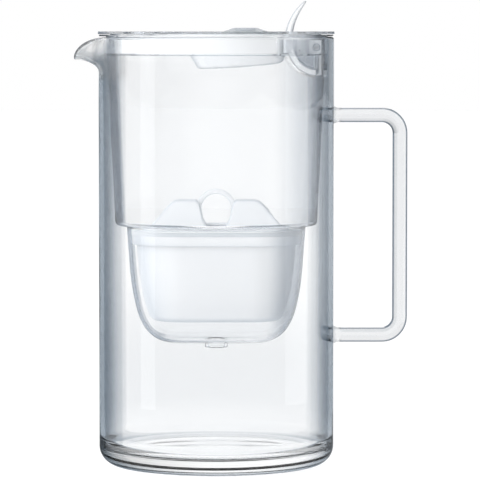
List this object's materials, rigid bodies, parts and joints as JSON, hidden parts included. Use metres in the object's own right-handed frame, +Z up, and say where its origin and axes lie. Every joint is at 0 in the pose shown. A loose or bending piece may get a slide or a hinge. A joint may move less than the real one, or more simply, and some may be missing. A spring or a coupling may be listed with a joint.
{
  "type": "water filter pitcher with flip lid",
  "caption": "Clear glass jug with a pouring lip and a bar handle, holding a hopper with an oval filter cartridge under a lid with a hinged filling flap.",
  "frame": {"origin": "on the jug's axis, at the middle of its base", "axes": "+Z up, +X towards the handle, -X towards the pouring lip"},
  "size_m": [0.2031, 0.144, 0.2832],
  "materials": {
    "jug_glass": "clear polished glass",
    "clear_plastic": "clear glossy",
    "cartridge_white": "satin moulded",
    "soft_seal": "soft matte",
    "filter_mesh": "fine woven mesh",
    "granules": "granular",
    "milky_plastic": "milky translucent satin",
    "bezel_plastic": "satin",
    "pin_steel": "ground",
    "board_green": "solder resist",
    "clip_brass": "pressed sheet",
    "switch_black": "moulded",
    "led_lens": "clear lens"
  },
  "bodies": {
    "jug": {"glass_jug": "jug_glass", "glass_handle": "jug_glass"},
    "hopper": {"hopper_tank": "clear_plastic", "cartridge_well": "clear_plastic", "drip_nozzle": "clear_plastic"},
    "cartridge": {"cartridge_cup": "cartridge_white", "cartridge_cap": "cartridge_white", "pull_ring": "cartridge_white", "cartridge_seal": "soft_seal", "inlet_screen": "filter_mesh", "outlet_screen": "filter_mesh", "filter_media": "granules"},
    "lid": {"lid_top_plate": "clear_plastic", "lid_frame": "clear_plastic", "lid_clips": "milky_plastic", "hinge_bracket": "milky_plastic", "hinge_pin": "pin_steel"},
    "flap": {"flap_plate": "clear_plastic", "hinge_arms": "milky_plastic", "thumb_tab": "milky_plastic", "pod_shell": "milky_plastic", "pod_gasket": "soft_seal", "indicator_bezel": "bezel_plastic", "circuit_board": "board_green", "coin_cell": "pin_steel", "battery_clip": "clip_brass", "tact_switch": "switch_black", "status_led": "led_lens", "board_screws": "pin_steel"},
    "button": {"reset_button": "bezel_plastic"}
  },
  "joints": [
    {"name": "hopper_lift", "type": "slide", "parent": "jug", "child": "hopper", "axis": [0, 0, 1], "range_m": [0, 0.2]},
    {"name": "cartridge_lift", "type": "slide", "parent": "hopper", "child": "cartridge", "axis": [0, 0, 1], "range_m": [0, 0.06]},
    {"name": "lid_lift", "type": "slide", "parent": "hopper", "child": "lid", "axis": [0, 0, 1], "range_m": [0, 0.04]},
    {"name": "flap_hinge", "type": "hinge", "parent": "lid", "child": "flap", "pos_m": [0.0608, 0, 0.2547], "axis": [0, 1, 0], "range_deg": [0, 70]},
    {"name": "button_press", "type": "slide", "parent": "flap", "child": "button", "axis": [0, 0, -1], "range_m": [0, 0.0008], "stiffness_N_per_m": 900}
  ]
}
